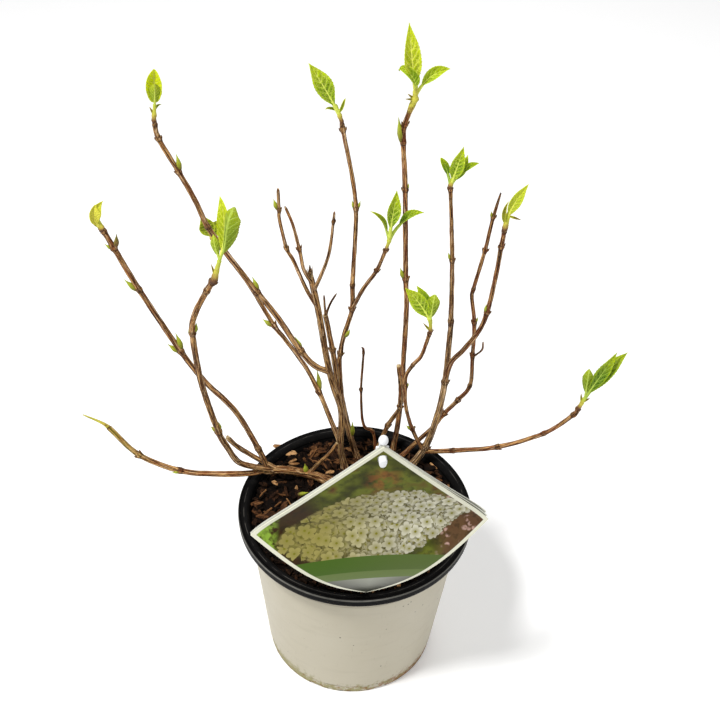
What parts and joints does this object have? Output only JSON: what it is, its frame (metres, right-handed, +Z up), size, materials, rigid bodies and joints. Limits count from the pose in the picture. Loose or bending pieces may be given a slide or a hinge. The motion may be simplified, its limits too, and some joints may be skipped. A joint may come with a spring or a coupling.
{
  "type": "potted hydrangea shrub",
  "caption": "Garden shrub in early spring: bare brown canes with small tufts of fresh green leaves, in a round white nursery pot of bark mix with a plant tag.",
  "frame": {"origin": "middle of the pot's flat underside", "axes": "+Z up the pot's axis, -Y towards the tag at the front, +X to the right seen from the front"},
  "size_m": [0.3735, 0.2188, 0.4653],
  "materials": {
    "bark": "rough brown bark",
    "leaf": "fresh yellow-green leaf",
    "pot_white": "satin white with dirt low down",
    "pot_black": "satin black",
    "bark_mix": "damp bark chips",
    "tag_print": "coated printed card",
    "tag_paper": "coated card",
    "stake_white": "satin white"
  },
  "bodies": {
    "root": {"pot_wall": "pot_white", "pot_lip": "pot_black", "potting_mix": "bark_mix", "tag_card": "tag_print", "tag_page_2": "tag_paper", "tag_page_3": "tag_paper", "tag_stake": "stake_white", "stool_left": "bark", "cane_broken": "bark", "cane_cut": "bark", "twig_dead": "bark", "cane_tallest": "bark", "stub_rough": "bark", "cane_right": "bark", "cane_back_right": "bark", "cane_low_left": "bark", "cane_far_left": "bark", "cane_near_left": "bark", "stub_near_left": "bark", "twig_bark": "bark", "cane_centre": "bark", "cane_top_left": "bark", "cane_back_left": "bark", "twig_broken_a": "bark", "twig_broken_b": "bark", "twig_broken_c": "bark", "bough_near_right": "bark", "bough_right": "bark", "bough_low_right": "bark", "bough_centre": "bark", "tuft_far_left": "leaf", "tuft_near_left": "leaf", "tuft_top_left": "leaf", "tuft_back_left": "leaf", "tuft_centre": "leaf", "tuft_middle": "leaf", "tuft_tallest": "leaf", "tuft_near_right": "leaf", "tuft_right": "leaf", "tuft_far_right": "leaf", "tuft_low_right": "leaf"}
  },
  "joints": []
}
